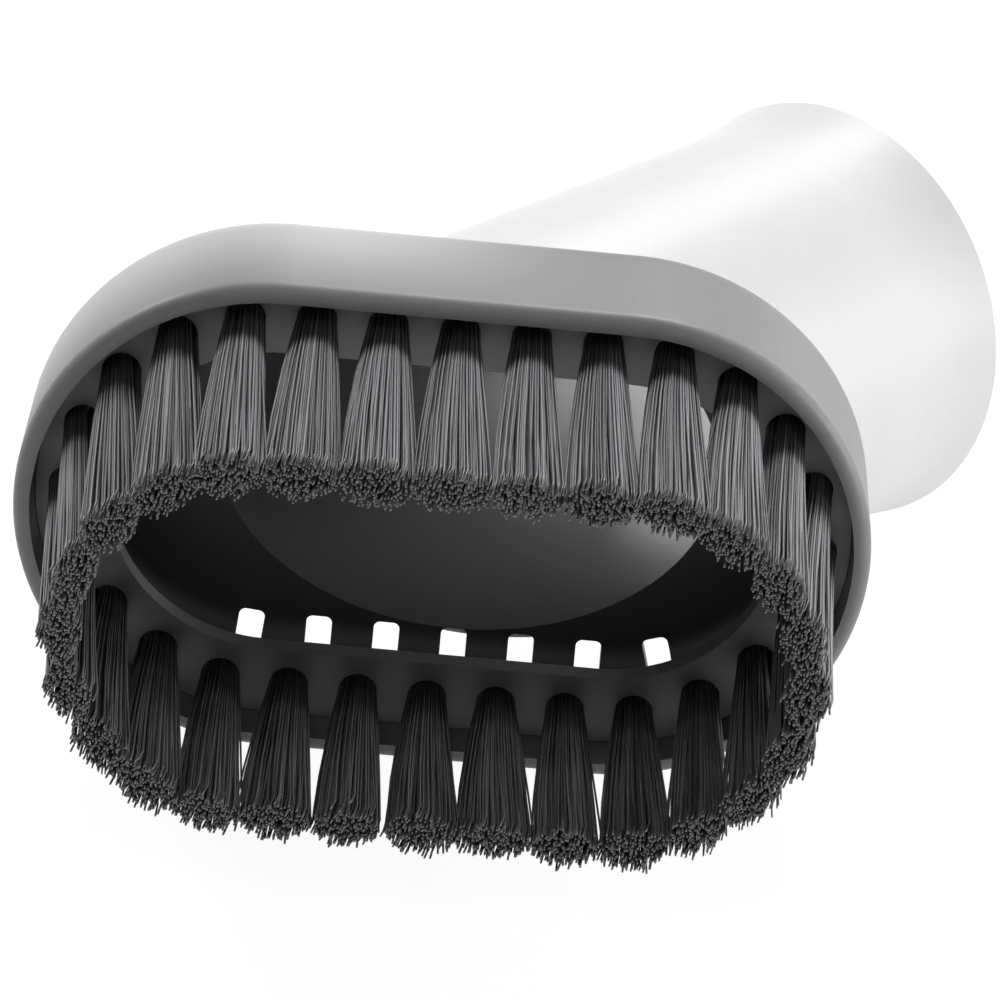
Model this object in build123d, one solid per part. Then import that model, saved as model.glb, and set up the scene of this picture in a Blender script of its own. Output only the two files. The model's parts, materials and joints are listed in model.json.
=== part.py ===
from build123d import *
import math
import os

# A dusting brush for a vacuum cleaner's wand: an oval moulded head on a leaning neck, with a ring of
# bristle tufts. All lengths are in millimetres and all angles in degrees.
#
# The pieces are built with the mouth of the head in the plane Z = 0, the back of the head towards +Z, the
# bristles towards -Z, the head's long axis along X and the neck leaning towards +X. lay_down then turns
# everything on its long side, as the brush lies on a table.

# Head moulding
head_length = 73.0
head_width = 44.0
head_depth = 17.0
head_wall = 1.5            # round the pocket that the bristle ring sits in
cavity_wall = 2.2          # behind the ring, thicker, so that the step between them is the ring's seat
back_wall = 1.6
shoulder_round = 5.0
lip_round = 1.2            # on the outer edge of the lip

# Neck and the socket for the wand
neck_lean = 40.0
neck_root_depth = 13.3     # where the neck's axis crosses the middle of the head, behind the mouth
neck_radius = 19.1
neck_length = 53.0         # from that crossing to the open end
cuff_radius = 20.05        # outer radius at the open end
flare_length = 9.5
wand_radius = 17.5         # bore for a 35 mm wand
socket_length = 36.0
passage_radius = 16.8      # the air passage between the socket and the head
neck_blend = 2.0           # fillet where the neck grows out of the head
mouth_chamfer = 0.6

# Bristle ring, a separate plate pressed into the head
ring_recess = 3.85         # how far the plate's face lies behind the lip
ring_thickness = 3.6
ring_clearance = 0.1       # between the plate and the pocket's wall
ring_inner_land = 1.7      # from the holes to the ring's opening
ring_bevel_radial = 1.77   # the opening widens towards the back, over this depth
ring_bevel_depth = 3.4

# Tufts
tuft_count = 28
tuft_inset = 4.4           # from the head's outer wall to the middle of a tuft
tuft_hole_radius = 1.7
tuft_hole_depth = 3.0
tuft_clearance = 0.1
tuft_reach = 22.95         # how far the bristles stand out of the lip
tuft_lean = 3.9            # inwards
tuft_spread_length = 11.0  # where a tuft has opened to most of its width
tuft_spread_half = (2.35, 1.55)  # half width along the ring and across it, there
tuft_tip_half = (2.65, 1.62)     # and at the tips
tuft_flutes = 13           # furrows between the bristles round the outside of a tuft
root_flute = 0.05          # depth of a furrow as a share of the tuft's half width, in the hole
spread_flute = 0.12
tip_flute = 0.2

# Flat steel anchor that holds each folded tuft in its hole
anchor_thickness = 0.35
anchor_height = 1.4
anchor_floor = 0.6         # bristle left under the anchor
anchor_end_gap = 0.05      # from each end to the wall of the hole

# Air slots through the shoulder, one behind each gap between the tufts on the long sides
slot_width = 2.3
slot_inset = 1.2           # from the head's outer wall
slot_radial = 4.0
slot_corner = 0.6
slot_start_depth = 12.6
slot_end_depth = 18.8      # in the root of the neck
slot_shift = 1.1           # from the middle of a gap, away from the end the neck leans to
slots_each_side = 7
slot_lead = 3.5            # gaps from the middle of a side to the first slot, at the end the neck leans to

cut_margin = 1.0           # how far a cutting solid stands out of what it cuts


def oval(length, width):
    """A face with straight long sides and round ends, in the XY plane."""
    return SlotOverall(length, width)


def level(z):
    """The plane Z = z."""
    return Plane.XY.offset(z)


half_straight = (head_length - head_width) / 2
tuft_path_radius = head_width / 2 - tuft_inset
tuft_path_length = 4 * half_straight + 2 * math.pi * tuft_path_radius
ring_seat = ring_recess + ring_thickness
neck_direction = Vector(math.sin(math.radians(neck_lean)), 0, math.cos(math.radians(neck_lean)))
neck_plane = Plane(origin=(0, 0, neck_root_depth), x_dir=(neck_direction.Z, 0, -neck_direction.X),
                   z_dir=neck_direction)


def ring_point(fraction, radius):
    """A point on the oval round the head whose ends have this radius, and the outward direction there.

    fraction runs round the tufts' own oval from the end the neck leans to.
    """
    along = (fraction % 1) * tuft_path_length
    quarter = math.pi * tuft_path_radius / 2
    side = 2 * half_straight
    if along < quarter or along > tuft_path_length - quarter:
        if along > quarter:
            along -= tuft_path_length
        angle = along / tuft_path_radius
        centre = half_straight
    elif along < quarter + side:
        x = half_straight - (along - quarter)
        return Vector(x, radius, 0), Vector(0, 1, 0)
    elif along < 3 * quarter + side:
        angle = (along - side) / tuft_path_radius
        centre = -half_straight
    else:
        x = -half_straight + (along - 3 * quarter - side)
        return Vector(x, -radius, 0), Vector(0, -1, 0)
    outward = Vector(math.cos(angle), math.sin(angle), 0)
    return Vector(centre, 0, 0) + outward * radius, outward


def head_block():
    """The head as a full block, with its shoulder and the edge of its lip rounded."""
    block = extrude(oval(head_length, head_width), head_depth)
    back_edges = block.faces().sort_by(Axis.Z)[-1].edges()
    block = fillet(back_edges, shoulder_round)
    front_edges = block.faces().sort_by(Axis.Z)[0].edges()
    return fillet(front_edges, lip_round)


def turned(outline):
    """Revolve a closed outline of (radius, distance along the neck) about the neck's axis."""
    return neck_plane * revolve(Plane.XZ * make_face(outline), Axis.Z)


def neck_block():
    """The neck as a full bar that flares to the cuff, cut off inside the head."""
    flare_start = neck_length - flare_length
    below = -2 * neck_radius
    straight = Polyline((0, neck_length), (0, below), (neck_radius, below), (neck_radius, flare_start))
    flare = TangentArc((neck_radius, flare_start), (cuff_radius, neck_length), tangent=(0, 1))
    end = Line((cuff_radius, neck_length), (0, neck_length))
    tube = turned(straight + flare + end)
    reach = head_length + 2 * neck_length
    behind = level(head_depth / 2) * Box(reach, reach, reach, align=(Align.CENTER, Align.CENTER, Align.MIN))
    return tube & behind


def hollow():
    """The room inside: the ring's pocket, the head's cavity, the air passage and the wand's socket."""
    pocket = extrude(oval(head_length - 2 * head_wall, head_width - 2 * head_wall), ring_seat)
    cavity_depth = head_depth - back_wall
    cavity = extrude(oval(head_length - 2 * cavity_wall, head_width - 2 * cavity_wall), cavity_depth)
    floor_edges = cavity.faces().sort_by(Axis.Z)[-1].edges()
    cavity = fillet(floor_edges, shoulder_round - cavity_wall)
    socket_start = neck_length - socket_length
    passage = Polyline((0, -2 * neck_radius), (passage_radius, -2 * neck_radius),
                       (passage_radius, socket_start), (wand_radius, socket_start),
                       (wand_radius, neck_length - mouth_chamfer),
                       (wand_radius + mouth_chamfer, neck_length), (0, neck_length), close=True)
    reach = head_length + 2 * neck_length
    behind = level(ring_seat) * Box(reach, reach, reach, align=(Align.CENTER, Align.CENTER, Align.MIN))
    return pocket + cavity + (turned(passage) & behind)


def air_slots():
    """Slots through the shoulder and the root of the neck, one behind each gap of the long sides."""
    slots = []
    outline = RectangleRounded(slot_radial, slot_width, slot_corner)
    radius = head_width / 2 - slot_inset - slot_radial / 2
    pitch = 1 / tuft_count
    shift = slot_shift / tuft_path_length
    for middle, direction in ((0.25, 1), (0.75, -1)):
        for index in range(slots_each_side):
            from_middle = (index - slot_lead) * pitch + shift
            place, outward = ring_point(middle + direction * from_middle, radius)
            plane = Plane(origin=place + Vector(0, 0, slot_start_depth), x_dir=outward, z_dir=(0, 0, 1))
            slots.append(extrude(plane * outline, slot_end_depth - slot_start_depth))
    return slots


def brush_body():
    """The moulded head and neck, hollowed, with the air slots cut through."""
    head = head_block()
    neck = neck_block()
    joined = head + neck
    seam = joined.edges() - head.edges() - neck.edges()
    seam = ShapeList(edge for edge in seam if edge.center().Z > head_depth / 2 + cut_margin)
    joined = fillet(seam, neck_blend)
    body = joined - hollow()
    for slot in air_slots():
        body -= slot
    return body


def tuft_axis(outward):
    """Unit vector from the plate out along a tuft, which leans in over the mouth."""
    lean = math.radians(tuft_lean)
    return Vector(-outward.X * math.sin(lean), -outward.Y * math.sin(lean), -math.cos(lean))


def tuft_plane(place, outward, z):
    """The plane Z = z, centred where the tuft's axis passes through it, with X along the ring."""
    axis = tuft_axis(outward)
    foot = place + Vector(0, 0, ring_recess)
    centre = foot + axis * ((z - ring_recess) / axis.Z)
    return Plane(origin=centre, x_dir=(-outward.Y, outward.X, 0), z_dir=(0, 0, 1))


def tuft_hole(place, outward):
    """The round hole for one tuft, along the tuft's own lean."""
    floor = tuft_plane(place, outward, ring_recess + tuft_hole_depth)
    above = tuft_plane(place, outward, ring_recess - cut_margin)
    return loft([floor * Circle(tuft_hole_radius), above * Circle(tuft_hole_radius)])


def bristle_ring(places):
    """The plate in the pocket: open in the middle, bevelled behind, with a hole for each tuft."""
    outer_step = head_wall + ring_clearance
    outer = oval(head_length - 2 * outer_step, head_width - 2 * outer_step)
    opening_width = 2 * (tuft_path_radius - tuft_hole_radius - ring_inner_land)
    opening = oval(2 * half_straight + opening_width, opening_width)
    plate = level(ring_recess) * extrude(outer - opening, ring_thickness)
    back_edges = plate.faces().sort_by(Axis.Z)[-1].inner_wires()[0].edges()
    plate = chamfer(back_edges, ring_bevel_depth, ring_bevel_radial,
                    reference=plate.faces().sort_by(Axis.Z)[-1])
    for place, outward in places:
        plate -= tuft_hole(place, outward)
    return plate


def anchor(place, outward):
    """The flat piece of steel driven across a tuft's hole."""
    top = ring_recess + tuft_hole_depth - anchor_floor
    plane = tuft_plane(place, outward, top)
    length = 2 * (tuft_hole_radius - anchor_end_gap)
    return plane * Box(length, anchor_thickness, anchor_height, align=(Align.CENTER, Align.CENTER, Align.MAX))


def fluted_face(half, flute):
    """The section of a tuft: an ellipse of these half widths whose edge goes in and out with the bristles."""
    corners = []
    for index in range(2 * tuft_flutes):
        angle = math.pi * index / tuft_flutes
        share = 1 - flute * (index % 2)
        corners.append((half[0] * share * math.cos(angle), half[1] * share * math.sin(angle)))
    return make_face(Polyline(*corners, close=True))


def tuft(place, outward, held_by):
    """One bundle of bristles: as wide as its hole, fanning out beyond it and cut square at the tips."""
    root_radius = tuft_hole_radius - tuft_clearance
    root = fluted_face((root_radius, root_radius), root_flute)
    spread = fluted_face(tuft_spread_half, spread_flute)
    tip = fluted_face(tuft_tip_half, tip_flute)
    sections = [
        tuft_plane(place, outward, ring_recess + tuft_hole_depth) * root,
        tuft_plane(place, outward, ring_recess) * root,
        tuft_plane(place, outward, ring_recess - tuft_spread_length) * spread,
        tuft_plane(place, outward, -tuft_reach) * tip,
    ]
    return loft(sections, ruled=True) - held_by


def lay_down(pieces):
    """Turn the pieces on their long side, with the cuff and the head's side both on the plane Z = 0."""
    drop = head_width / 2 - cuff_radius
    run = neck_root_depth + neck_length * math.cos(math.radians(neck_lean)) - (head_depth - shoulder_round)
    tilt = math.degrees(math.atan(drop / run))
    turned_pieces = {name: Rot(X=-90 - tilt) * piece for name, piece in pieces.items()}
    box = Compound(list(turned_pieces.values())).bounding_box()
    shift = Pos(-box.center().X, -box.center().Y, -box.min.Z)
    return {name: shift * piece for name, piece in turned_pieces.items()}


places = [ring_point(index / tuft_count, tuft_path_radius) for index in range(tuft_count)]
anchors = [anchor(place, outward) for place, outward in places]
pieces = {
    "brush_body": brush_body(),
    "bristle_ring": bristle_ring(places),
    "tuft_anchors": Compound(anchors),
}
for index, (place, outward) in enumerate(places):
    pieces[f"tuft_{index + 1:02d}"] = tuft(place, outward, anchors[index])

os.makedirs("parts", exist_ok=True)
for name, piece in lay_down(pieces).items():
    export_step(piece, f"parts/{name}.step")
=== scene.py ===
import json
import math

import bpy
import numpy as np
from mathutils import Matrix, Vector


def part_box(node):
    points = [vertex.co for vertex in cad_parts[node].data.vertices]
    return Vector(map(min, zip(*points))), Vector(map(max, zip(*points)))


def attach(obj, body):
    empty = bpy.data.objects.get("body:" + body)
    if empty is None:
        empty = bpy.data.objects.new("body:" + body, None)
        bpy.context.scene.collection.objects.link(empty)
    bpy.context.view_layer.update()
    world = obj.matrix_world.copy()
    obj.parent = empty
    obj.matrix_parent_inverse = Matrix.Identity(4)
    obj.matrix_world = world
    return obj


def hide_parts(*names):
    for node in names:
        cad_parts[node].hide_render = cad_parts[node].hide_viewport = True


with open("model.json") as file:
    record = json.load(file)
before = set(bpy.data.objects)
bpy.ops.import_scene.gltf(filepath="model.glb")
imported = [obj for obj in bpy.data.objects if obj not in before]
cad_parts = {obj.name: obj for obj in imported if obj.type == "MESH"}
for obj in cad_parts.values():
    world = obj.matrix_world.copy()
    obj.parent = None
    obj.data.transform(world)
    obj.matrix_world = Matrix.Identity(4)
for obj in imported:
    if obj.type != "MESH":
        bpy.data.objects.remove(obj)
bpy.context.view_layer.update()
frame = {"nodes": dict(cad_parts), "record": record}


# Head and neck: one hollow moulding in ABS, with the oval head, the leaning neck and the socket for the
# wand in one shell. Its mould was spark-eroded, so the surface is a fine satin, and the grey of the head
# runs out to near white on the thin-walled neck.
head_grey = "#868688"
neck_white = "#F7F7F8"
# Painted shade and light inside: the hollow is coloured darker than the outside as painted shade, and paler
# towards the open socket as painted light coming in there.
inside_shade_grey = "#5E5E62"
inside_socket_light = "#B4B4B6"
socket_light_fade = (-0.022, 0.016)   # along the neck, from the point where the wand is mounted
half_straight = 0.0145          # of the head's straight sides
cavity_reach = 0.0203           # from the head's middle line, just past the cavity's wall
cavity_depth = 0.0155           # behind the mouth, just past the cavity's floor
neck_outer_radius = 0.0191
neck_wall = 0.0016
# Painted highlight: the shoulder at the end that the neck leans away from is coloured paler towards the
# back, for the light from behind on it.
painted_light_share = 0.7
painted_light_depth = (-0.002, 0.016)    # behind the mouth
painted_light_side = (0.012, -0.012)     # along the head, and strongest at the end that the neck leans away from
white_depth = (0.0165, 0.0185)  # behind the mouth, where the shoulder turns into the neck
abs_ior = 1.53
abs_roughness = (0.42, 0.54)
abs_shades = (0.965, 1.035)
mottle_size = 0.006
mould_grain = 0.00035           # coarser than the eroded mould's own, so that it shows
mould_grain_height = 0.000015
grain_strength = 0.6


def linear(hex_colour):
    """An sRGB hex colour as linear RGBA: a channel below 0.04045 is divided by 12.92, and any other is
    ((channel + 0.055) / 1.055) to the power of 2.4."""
    channels = np.array([int(hex_colour[place:place + 2], 16) for place in (1, 3, 5)]) / 255
    low = channels / 12.92
    high = ((channels + 0.055) / 1.055) ** 2.4
    return (*np.where(channels < 0.04045, low, high), 1)


def add(material, kind, settings=None, links=None):
    """Add one node. settings maps its properties, or its inputs by name or number, to their values, and
    links maps its inputs to the sockets that feed them."""
    node = material.node_tree.nodes.new(kind)
    for name, value in (settings or {}).items():
        if isinstance(name, int) or name in node.inputs:
            node.inputs[name].default_value = value
        else:
            setattr(node, name, value)
    for name, socket in (links or {}).items():
        material.node_tree.links.new(socket, node.inputs[name])
    return node


def new_material(name):
    """A material with an empty node tree."""
    material = bpy.data.materials.new(name)
    material.use_nodes = True
    material.node_tree.nodes.clear()
    return material


def moulded_abs():
    """Satin ABS off a spark-eroded mould: soft broad highlights, broken up by a fine grain.

    Outside, the head's grey turns to near white behind the head. Over the end that the neck leans away
    from, a painted highlight for the light from behind pales it from the lip towards the back, by a set
    share of the way to white. Inside it is a darker grey, painted shade for the hollow, which pales along
    the neck to the socket as painted light coming in there. A point is inside where it lies nearer to the
    head's middle line than cavity_reach and less deep than cavity_depth, or nearer to the neck's axis than
    the middle of the neck's wall.
    """
    material = new_material("moulded_abs")
    place = add(material, "ShaderNodeTexCoord").outputs["Object"]

    in_head = add(material, "ShaderNodeMapping",
                  {"vector_type": "TEXTURE", "Location": mouth_middle, "Rotation": head_turn.to_euler()},
                  {0: place})
    parts = add(material, "ShaderNodeSeparateXYZ", links={0: in_head.outputs[0]})
    from_middle = add(material, "ShaderNodeMath", {"operation": "ABSOLUTE"}, {0: parts.outputs["X"]})
    past_straight = add(material, "ShaderNodeMath", {"operation": "SUBTRACT", 1: half_straight},
                        {0: from_middle.outputs[0]})
    end_part = add(material, "ShaderNodeMath", {"operation": "MAXIMUM", 1: 0},
                   {0: past_straight.outputs[0]})
    radial = add(material, "ShaderNodeCombineXYZ",
                 links={"X": end_part.outputs[0], "Y": parts.outputs["Y"]})
    reach = add(material, "ShaderNodeVectorMath", {"operation": "LENGTH"}, {0: radial.outputs[0]})
    in_cavity = add(material, "ShaderNodeMath", {"operation": "LESS_THAN", 1: cavity_reach},
                    {0: reach.outputs["Value"]})
    in_depth = add(material, "ShaderNodeMath", {"operation": "LESS_THAN", 1: cavity_depth},
                   {0: parts.outputs["Z"]})
    head_inside = add(material, "ShaderNodeMath", {"operation": "MULTIPLY"},
                      {0: in_cavity.outputs[0], 1: in_depth.outputs[0]})

    in_neck = add(material, "ShaderNodeMapping",
                  {"vector_type": "TEXTURE", "Location": neck_point, "Rotation": neck_turn.to_euler()},
                  {0: place})
    flat = add(material, "ShaderNodeVectorMath", {"operation": "MULTIPLY", 1: (1, 1, 0)},
               {0: in_neck.outputs[0]})
    radius = add(material, "ShaderNodeVectorMath", {"operation": "LENGTH"}, {0: flat.outputs[0]})
    in_bore = add(material, "ShaderNodeMath",
                  {"operation": "LESS_THAN", 1: neck_outer_radius - neck_wall / 2},
                  {0: radius.outputs["Value"]})
    inside = add(material, "ShaderNodeMath", {"operation": "MAXIMUM"},
                 {0: head_inside.outputs[0], 1: in_bore.outputs[0]})

    # painted highlight on the shoulder away from the neck, paler from the lip to the back
    paler = add(material, "ShaderNodeMapRange",
                {"interpolation_type": "SMOOTHSTEP", "From Min": painted_light_depth[0], "From Max": painted_light_depth[1],
                 "To Max": painted_light_share},
                {"Value": parts.outputs["Z"]})
    painted_light_beside = add(material, "ShaderNodeMapRange",
                 {"interpolation_type": "SMOOTHSTEP", "From Min": painted_light_side[0], "From Max": painted_light_side[1]},
                 {"Value": parts.outputs["X"]})
    painted_light = add(material, "ShaderNodeMath", {"operation": "MULTIPLY"},
               {0: paler.outputs[0], 1: painted_light_beside.outputs[0]})
    behind = add(material, "ShaderNodeMapRange",
                 {"interpolation_type": "SMOOTHSTEP", "From Min": white_depth[0],
                  "From Max": white_depth[1]},
                 {"Value": parts.outputs["Z"]})
    fade = add(material, "ShaderNodeMath", {"operation": "MAXIMUM"},
               {0: painted_light.outputs[0], 1: behind.outputs[0]})
    outer = add(material, "ShaderNodeMix",
                {"data_type": "RGBA", 6: linear(head_grey), 7: linear(neck_white)}, {0: fade.outputs[0]})
    # painted shade inside, paling along the neck into painted light at the open socket
    along = add(material, "ShaderNodeSeparateXYZ", links={0: in_neck.outputs[0]})
    socket_light = add(material, "ShaderNodeMapRange",
                    {"interpolation_type": "SMOOTHSTEP", "From Min": socket_light_fade[0],
                     "From Max": socket_light_fade[1]},
                    {"Value": along.outputs["Z"]})
    painted_inside = add(material, "ShaderNodeMix",
                {"data_type": "RGBA", 6: linear(inside_shade_grey), 7: linear(inside_socket_light)},
                {0: socket_light.outputs[0]})
    colour = add(material, "ShaderNodeMix", {"data_type": "RGBA"},
                 {0: inside.outputs[0], 6: outer.outputs[2], 7: painted_inside.outputs[2]})

    mottle = add(material, "ShaderNodeTexNoise", {"Scale": 1 / mottle_size, "Detail": 3.0},
                 {"Vector": place})
    strength = add(material, "ShaderNodeMapRange", {"To Min": abs_shades[0], "To Max": abs_shades[1]},
                   {"Value": mottle.outputs["Fac"]})
    shaded = add(material, "ShaderNodeVectorMath", {"operation": "SCALE"},
                 {0: colour.outputs[2], "Scale": strength.outputs[0]})
    roughness = add(material, "ShaderNodeMapRange",
                    {"To Min": abs_roughness[0], "To Max": abs_roughness[1]},
                    {"Value": mottle.outputs["Fac"]})
    grain = add(material, "ShaderNodeTexNoise", {"Scale": 1 / mould_grain, "Detail": 2.0},
                {"Vector": place})
    bump = add(material, "ShaderNodeBump", {"Strength": grain_strength, "Distance": mould_grain_height},
               {"Height": grain.outputs["Fac"]})
    shader = add(material, "ShaderNodeBsdfPrincipled", {"IOR": abs_ior},
                 {"Base Color": shaded.outputs[0], "Roughness": roughness.outputs[0],
                  "Normal": bump.outputs[0]})
    add(material, "ShaderNodeOutputMaterial", links={"Surface": shader.outputs[0]})
    return material


def turn_to(depth_axis, side_axis):
    """The turn that takes Z to depth_axis and X as near as it can to side_axis."""
    y_axis = np.cross(depth_axis, side_axis)
    y_axis /= np.linalg.norm(y_axis)
    return Matrix(np.stack([np.cross(y_axis, depth_axis), y_axis, depth_axis], axis=1).tolist())


socket = frame["record"]["mounts"][0]
neck_axis = np.array(socket["axis"])
neck_point = np.array(socket["pos_m"])
mouth_out = -neck_axis * (0, 1, 1)
mouth_out /= np.linalg.norm(mouth_out)
neck_turn = turn_to(neck_axis, np.array([1, 0, 0]))
head_turn = turn_to(-mouth_out, np.array([1, 0, 0]))

body = frame["nodes"]["brush_body"]
lip_reach = max(np.array(vertex.co) @ mouth_out for vertex in body.data.vertices)
ring_middle = np.mean(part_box("bristle_ring"), axis=0)
mouth_middle = ring_middle + mouth_out * (lip_reach - ring_middle @ mouth_out)
body.data.materials.clear()
body.data.materials.append(moulded_abs())


# Bristle ring: an oval plate moulded in polypropylene, drilled for the tufts and pressed into the head
# behind the lip. It shows between the roots of the tufts, in the shadow of the head's wall.
ring_grey = "#97979B"
ring_shades = (0.93, 1.07)
ring_grain = 0.0005             # coarser than the real mould's, so that it shows
polypropylene_ior = 1.49
polypropylene_roughness = 0.5


def moulded_polypropylene():
    """Polypropylene off a plain mould: a shade paler than the head, with the same soft sheen."""
    material = new_material("moulded_polypropylene")
    place = add(material, "ShaderNodeTexCoord").outputs["Object"]
    cloud = add(material, "ShaderNodeTexNoise", {"Scale": 1 / mottle_size, "Detail": 2.0},
                {"Vector": place})
    strength = add(material, "ShaderNodeMapRange", {"To Min": ring_shades[0], "To Max": ring_shades[1]},
                   {"Value": cloud.outputs["Fac"]})
    colour = add(material, "ShaderNodeVectorMath", {"operation": "SCALE", 0: linear(ring_grey)[:3]},
                 {"Scale": strength.outputs[0]})
    grain = add(material, "ShaderNodeTexNoise", {"Scale": 1 / ring_grain, "Detail": 2.0},
                {"Vector": place})
    bump = add(material, "ShaderNodeBump", {"Strength": grain_strength, "Distance": mould_grain_height},
               {"Height": grain.outputs["Fac"]})
    shader = add(material, "ShaderNodeBsdfPrincipled",
                 {"IOR": polypropylene_ior, "Roughness": polypropylene_roughness},
                 {"Base Color": colour.outputs[0], "Normal": bump.outputs[0]})
    add(material, "ShaderNodeOutputMaterial", links={"Surface": shader.outputs[0]})
    return material


ring = frame["nodes"]["bristle_ring"]
ring.data.materials.clear()
ring.data.materials.append(moulded_polypropylene())


# Tuft anchors: short lengths of flat drawn steel wire, one across each hole, driven in over the folded
# tuft. They bite the walls of the hole and are hidden by the bristles.
steel_grey = "#A9A9A6"
steel_roughness = (0.25, 0.45)
drawing_line = 0.00008          # the width of a line, and its length is line_stretch times that
line_stretch = 8


def drawn_steel():
    """Bare flat wire: fine lines along the drawing direction and a mid sheen."""
    material = new_material("drawn_steel")
    place = add(material, "ShaderNodeTexCoord").outputs["Object"]
    squeezed = add(material, "ShaderNodeMapping", {"Scale": (1, 1, line_stretch)}, {"Vector": place})
    lines = add(material, "ShaderNodeTexNoise", {"Scale": 1 / (line_stretch * drawing_line), "Detail": 1.0},
                {"Vector": squeezed.outputs[0]})
    roughness = add(material, "ShaderNodeMapRange",
                    {"To Min": steel_roughness[0], "To Max": steel_roughness[1]},
                    {"Value": lines.outputs["Fac"]})
    shader = add(material, "ShaderNodeBsdfPrincipled", {"Base Color": linear(steel_grey), "Metallic": 1.0},
                 {"Roughness": roughness.outputs[0]})
    add(material, "ShaderNodeOutputMaterial", links={"Surface": shader.outputs[0]})
    return material


anchors = frame["nodes"]["tuft_anchors"]
anchors.data.materials.clear()
anchors.data.materials.append(drawn_steel())


# Bristle tufts: drawn nylon filament, dyed charcoal. A bundle is folded over its anchor in a hole of the
# ring, fans out as it leaves it and was cut square with its neighbours.
filaments_each = 250
filament_radius = 0.000095
hole_radius = 0.00155           # that the filaments fill
hole_depth = 0.0030
anchor_slit = 0.0003            # kept free on each side of the hole's middle, for the anchor
tip_half_along = 0.00298        # the fan's half width at the tips, along the ring
tip_half_across = 0.0017
tip_scatter = 0.05
tip_set = 0.0005                # how far the tips have set towards the neck's side
fan_power = 1.6
cut_scatter = (0.00006, 0.00055)
bend_size = 0.0002
stray_share = 0.01
stray_bend = 0.0006
sweep_share = 0.035             # the part of a filament, at its tip, that use has bent over
sweep_size = (0.0, 0.0004)
sweep_power = 1.5
filament_dark = "#4C4B4E"
filament_light = "#939296"
# Painted shadow: the roots are coloured darker where the head's lip shades them.
root_shade = 0.26
root_reach = (0.25, 0.335)
cut_end_grey = "#A5A4A6"
nylon_ior = 1.53
side_roughness = 0.36
cut_roughness = 0.7
tip_v = 0.9
cut_v = 1.0
stations = np.array([0, 0.06, 0.13, 0.24, 0.42, 0.68, 0.88, 0.94, 1])  # of a filament's sections
golden_angle = math.pi * (3 - math.sqrt(5))
same_level = 0.00002            # corners this near in reach are at one end of a tuft


def drawn_nylon():
    """Drawn nylon filament: glossy along its length and a paler, matt face where it was cut.

    The UV map's U is a number of each filament's own, which mixes the dark and the light shade. V runs
    from 0 at the root to tip_v at the tip, and is cut_v on the cut. The roots are painted dark, a painted
    shadow of the head's lip: up to the first root_reach a filament has root_shade of its colour, and from
    the second all of it.
    """
    material = new_material("drawn_nylon")
    places = add(material, "ShaderNodeUVMap", {"uv_map": "strand"})
    parts = add(material, "ShaderNodeSeparateXYZ", links={0: places.outputs[0]})
    shade = add(material, "ShaderNodeMix",
                {"data_type": "RGBA", 6: linear(filament_dark), 7: linear(filament_light)},
                {0: parts.outputs["X"]})
    out_of_root = add(material, "ShaderNodeMapRange",
                      {"interpolation_type": "SMOOTHSTEP", "From Min": root_reach[0],
                       "From Max": root_reach[1], "To Min": root_shade},
                      {"Value": parts.outputs["Y"]})
    # painted shadow of the lip on the roots
    root_painted_shadow = add(material, "ShaderNodeVectorMath", {"operation": "SCALE"},
                 {0: shade.outputs[2], "Scale": out_of_root.outputs[0]})
    cut = add(material, "ShaderNodeMath", {"operation": "GREATER_THAN", 1: (tip_v + cut_v) / 2},
              {0: parts.outputs["Y"]})
    colour = add(material, "ShaderNodeMix", {"data_type": "RGBA", 7: linear(cut_end_grey)},
                 {0: cut.outputs[0], 6: root_painted_shadow.outputs[0]})
    roughness = add(material, "ShaderNodeMapRange", {"To Min": side_roughness, "To Max": cut_roughness},
                    {"Value": cut.outputs[0]})
    shader = add(material, "ShaderNodeBsdfPrincipled", {"IOR": nylon_ior},
                 {"Base Color": colour.outputs[2], "Roughness": roughness.outputs[0]})
    add(material, "ShaderNodeOutputMaterial", links={"Surface": shader.outputs[0]})
    return material


def tuft_ends(node):
    """The middle of a plain tuft's root and of its tips: the mean of the corners at its lowest and at its
    highest reach out of the mouth."""
    corners = np.array([vertex.co for vertex in node.data.vertices])
    reach = corners @ mouth_out
    return [corners[np.abs(reach - end) < same_level].mean(0) for end in (reach.min(), reach.max())]


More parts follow.
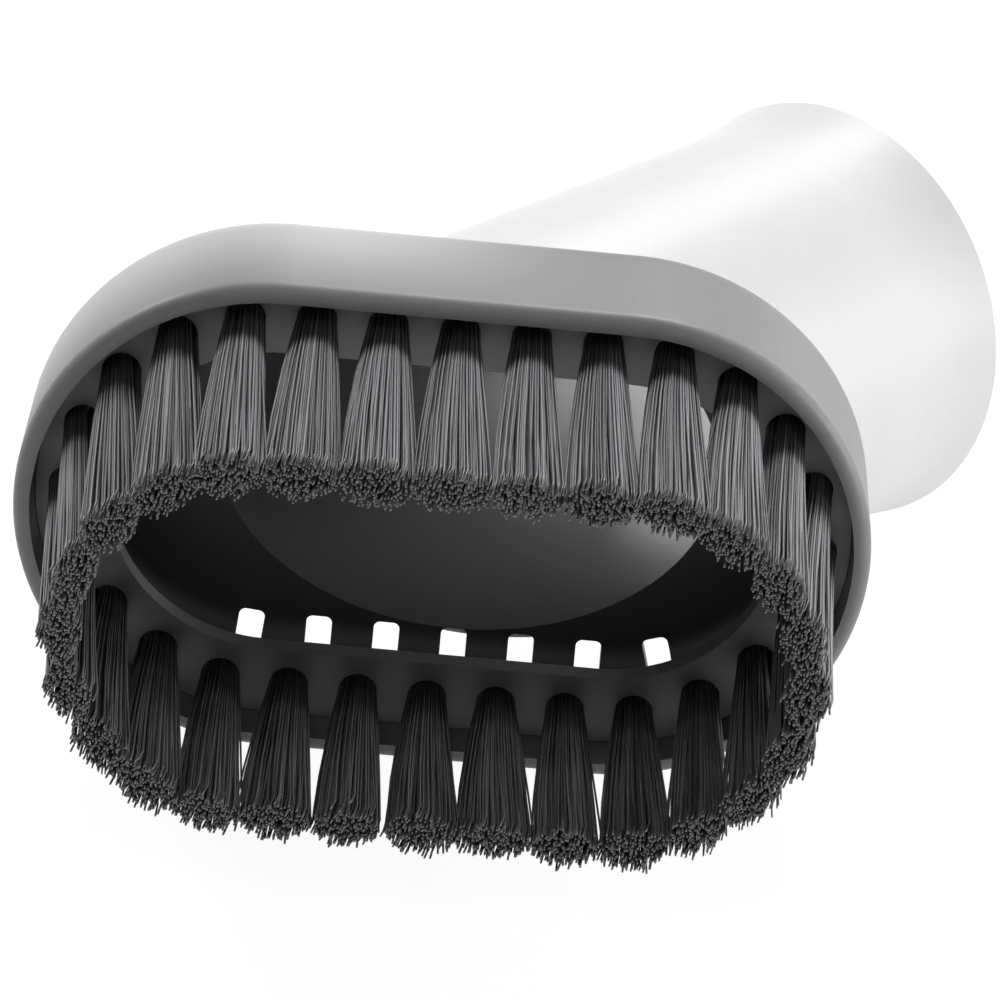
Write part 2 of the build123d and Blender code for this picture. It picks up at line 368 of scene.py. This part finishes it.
def strand_lines(root, tip, along, rng):
    """The centre lines of one tuft's filaments, as an array of filaments by stations by 3.

    A filament's place in the round hole has the square root of its order as its radius and the golden
    angle times its number as its turn. With free the share gone of its length beyond the hole, its
    distance from the tuft's axis grows as 1 - (1 - free) ** fan_power, and its own bend and the set of
    all tips grow with the square of free. Each ends on the plane through the tuft's tip and square to the
    mouth, less the scatter of the cut. Over its last sweep_share it is swept away from the neck's side,
    as the share gone there to the power of sweep_power.
    """
    count = filaments_each
    order = (np.arange(count) + 0.5) / count
    turn = golden_angle * np.arange(count) + rng.uniform(0, math.tau)
    u = np.sqrt(order) * np.cos(turn)
    v = np.sqrt(order) * np.sin(turn)
    axis = tip - root
    length = np.linalg.norm(axis)
    across = np.cross(axis / length, along)
    hole_share = hole_depth / length
    t = stations[None, :]
    free = np.clip((t - hole_share) / (1 - hole_share), 0, 1)
    fan = 1 - (1 - free) ** fan_power
    beside_anchor = np.sign(v) * anchor_slit + v * (hole_radius - anchor_slit)
    tip_along, tip_across = np.array([tip_half_along, tip_half_across]) * rng.normal(1, tip_scatter, 2)
    half_along = hole_radius + (tip_along - hole_radius) * fan
    sideways = u[:, None] * half_along
    upways = beside_anchor[:, None] * (1 - fan) + v[:, None] * tip_across * fan
    bend = rng.normal(0, bend_size, (count, 2))
    stray = rng.random(count) < stray_share
    bend[stray] *= stray_bend / bend_size
    bend = np.clip(bend, -2 * stray_bend, 2 * stray_bend)
    sideways = sideways + bend[:, :1] * free ** 2
    upways = upways + bend[:, 1:] * free ** 2
    aside = sideways[..., None] * along + upways[..., None] * across
    ahead = aside[:, -1:] @ mouth_out / (axis @ mouth_out)
    reach = t * (1 - ahead - rng.uniform(*cut_scatter, (count, 1)) / length)
    swept = np.clip((t - 1) / sweep_share + 1, 0, 1) ** sweep_power
    sweep = swept * rng.uniform(*sweep_size, (count, 1))
    lines = root + reach[..., None] * axis + aside
    lines[..., 0] += tip_set * free ** 2 - sweep
    return lines


def strand_mesh(name, lines, along, across, rng):
    """Square-section tubes round the centre lines, closed at both ends.

    Corner k of a section lies filament_radius from the line, at k quarter turns from along to across.
    """
    count, levels, _ = lines.shape
    quarter = np.arange(4) * math.pi / 2
    ring_of_four = np.cos(quarter)[:, None] * along + np.sin(quarter)[:, None] * across
    places = lines[:, :, None, :] + filament_radius * ring_of_four
    number = np.arange(count * levels * 4).reshape(count, levels, 4)
    following = np.roll(number, -1, axis=2)
    sides = np.stack([number[:, :-1], following[:, :-1], following[:, 1:], number[:, 1:]], axis=-1)
    sides = sides.reshape(-1, 4)
    ends = np.stack([number[:, 0, ::-1], number[:, -1]], axis=1)
    faces = np.concatenate([sides, ends.reshape(-1, 4)])
    mesh = bpy.data.meshes.new(name)
    mesh.from_pydata(places.reshape(-1, 3), [], faces)
    own = rng.random(count)
    v_side = np.repeat(stations * tip_v, 4).reshape(levels, 4)
    v_all = np.broadcast_to(v_side, (count, levels, 4)).ravel()
    u_all = np.repeat(own, levels * 4)
    corners = faces.ravel()
    uv = np.stack([u_all[corners], v_all[corners]], axis=1)
    tips = len(sides) * 4 + np.arange(count * 8).reshape(count, 2, 4)[:, 1].ravel()
    uv[tips, 1] = cut_v
    mesh.uv_layers.new(name="strand").data.foreach_set("uv", uv.ravel())
    mesh.polygons.foreach_set("use_smooth", np.arange(len(faces)) < len(sides))
    mesh.update()
    return mesh


nylon = drawn_nylon()
tuft_names = sorted(name for name in frame["nodes"] if name.startswith("tuft_") and name[5:].isdigit())
ends = np.array([tuft_ends(frame["nodes"][name]) for name in tuft_names])
to_next = np.roll(ends[:, 1], -1, axis=0) - np.roll(ends[:, 1], 1, axis=0)
for index, name in enumerate(tuft_names):
    rng = np.random.default_rng(index)
    root, tip = ends[index]
    direction = (tip - root) / np.linalg.norm(tip - root)
    along = to_next[index] - direction * (to_next[index] @ direction)
    along /= np.linalg.norm(along)
    across = np.cross(direction, along)
    lines = strand_lines(root, tip, along, rng)
    piece = bpy.data.objects.new(name.replace("tuft", "bristles"),
                                 strand_mesh(name, lines, along, across, rng))
    piece.data.materials.append(nylon)
    bpy.context.scene.collection.objects.link(piece)
    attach(piece, "root")
    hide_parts(name)


# Studio: a plain pale floor that runs out of view, with soft lamps behind the brush and at its sides and a
# weak one in front. The floor and the sky are white where they are seen, also in reflections.
floor_half = 3.0
floor_white = "#E2E2E2"
shadow_share = 0.16             # of what is seen of the floor, the part that takes light and shadow
sky_strength = 0.06             # of the light that it gives, and it is seen at 1


def seen_rays(material):
    """A socket that is 1 for rays from the camera, mirrored or refracted, and 0 for any others."""
    rays = add(material, "ShaderNodeLightPath")
    mirrored = add(material, "ShaderNodeMath", {"operation": "MAXIMUM"},
                   {0: rays.outputs["Is Camera Ray"], 1: rays.outputs["Is Glossy Ray"]})
    refracted = add(material, "ShaderNodeMath", {"operation": "MAXIMUM"},
                    {0: mirrored.outputs[0], 1: rays.outputs["Is Transmission Ray"]})
    return refracted.outputs[0]


def floor_paint():
    """Matt white paint. What is seen of it is mostly an even glow, so that only a faint shadow is left."""
    material = new_material("floor_paint")
    paint = add(material, "ShaderNodeBsdfDiffuse", {"Color": linear(floor_white)})
    faint = add(material, "ShaderNodeBsdfDiffuse", {"Color": (shadow_share,) * 3 + (1,)})
    glow = add(material, "ShaderNodeEmission", {"Strength": 1 - shadow_share / 3})
    seen = add(material, "ShaderNodeAddShader", links={0: faint.outputs[0], 1: glow.outputs[0]})
    mixed = add(material, "ShaderNodeMixShader",
                links={0: seen_rays(material), 1: paint.outputs[0], 2: seen.outputs[0]})
    add(material, "ShaderNodeOutputMaterial", links={"Surface": mixed.outputs[0]})
    return material


corners = np.array([(-1, -1, 0), (1, -1, 0), (1, 1, 0), (-1, 1, 0)]) * floor_half
floor_mesh = bpy.data.meshes.new("floor")
floor_mesh.from_pydata(corners, [], [(0, 1, 2, 3)])
floor = bpy.data.objects.new("floor", floor_mesh)
floor.data.materials.append(floor_paint())
bpy.context.scene.collection.objects.link(floor)

sky = bpy.data.worlds.new("sky")
sky.use_nodes = True
sky.node_tree.nodes.clear()
strength = add(sky, "ShaderNodeMapRange", {"To Min": sky_strength, "To Max": 1.0},
               {"Value": seen_rays(sky)})
background = add(sky, "ShaderNodeBackground", links={"Strength": strength.outputs[0]})
add(sky, "ShaderNodeOutputWorld", links={"Surface": background.outputs[0]})
bpy.context.scene.world = sky


def soft_lamp(name, place, size, level):
    """A square area lamp that points at the brush. level is the share of its full colour that a surface
    facing the lamp shows, so the power is level times pi squared times the distance squared."""
    data = bpy.data.lights.new(name, "AREA")
    distance = float(np.linalg.norm(place))
    data.size = size
    data.energy = level * math.pi ** 2 * distance ** 2
    lamp = bpy.data.objects.new(name, data)
    lamp.location = place
    lamp.rotation_euler = lamp.location.to_track_quat("Z", "Y").to_euler()
    bpy.context.scene.collection.objects.link(lamp)


soft_lamp("back_lamp", (0.12, 0.66, 0.70), 0.18, 0.41)
soft_lamp("left_lamp", (-0.62, 0.52, 0.54), 0.30, 0.41)
soft_lamp("right_lamp", (0.86, -0.05, 0.20), 0.5, 0.68)
soft_lamp("socket_lamp", (0.62, 0.62, 0.20), 0.7, 0.27)
soft_lamp("front_lamp", (-0.10, -0.45, 0.80), 0.3, 0.11)


# Camera: a long lens that looks down on the mouth of the brush, a little from its left, and is rolled so
# that the brush sinks to the right.
camera_target = (-0.00155, -0.0010, 0.0152)
camera_distance = 0.445
camera_elevation = math.radians(29.61)
camera_azimuth = math.radians(-0.81)
camera_roll = math.radians(5.63)
camera_lens = 180
camera_sensor = 36

camera_data = bpy.data.cameras.new("camera")
camera_data.lens = camera_lens
camera_data.sensor_width = camera_sensor
camera_data.clip_start = 0.01
camera = bpy.data.objects.new("camera", camera_data)
back = np.array([math.sin(camera_azimuth) * math.cos(camera_elevation),
                 -math.cos(camera_azimuth) * math.cos(camera_elevation), math.sin(camera_elevation)])
level_right = np.array([math.cos(camera_azimuth), math.sin(camera_azimuth), 0])
level_up = np.cross(back, level_right)
right = math.cos(camera_roll) * level_right + math.sin(camera_roll) * level_up
up = math.cos(camera_roll) * level_up - math.sin(camera_roll) * level_right
turn = np.eye(4)
turn[:3, :3] = np.stack([right, up, back], axis=1)
turn[:3, 3] = camera_target + camera_distance * back
camera.matrix_world = turn.T.tolist()
bpy.context.scene.collection.objects.link(camera)
bpy.context.scene.camera = camera
bpy.context.scene.view_settings.view_transform = "Standard"
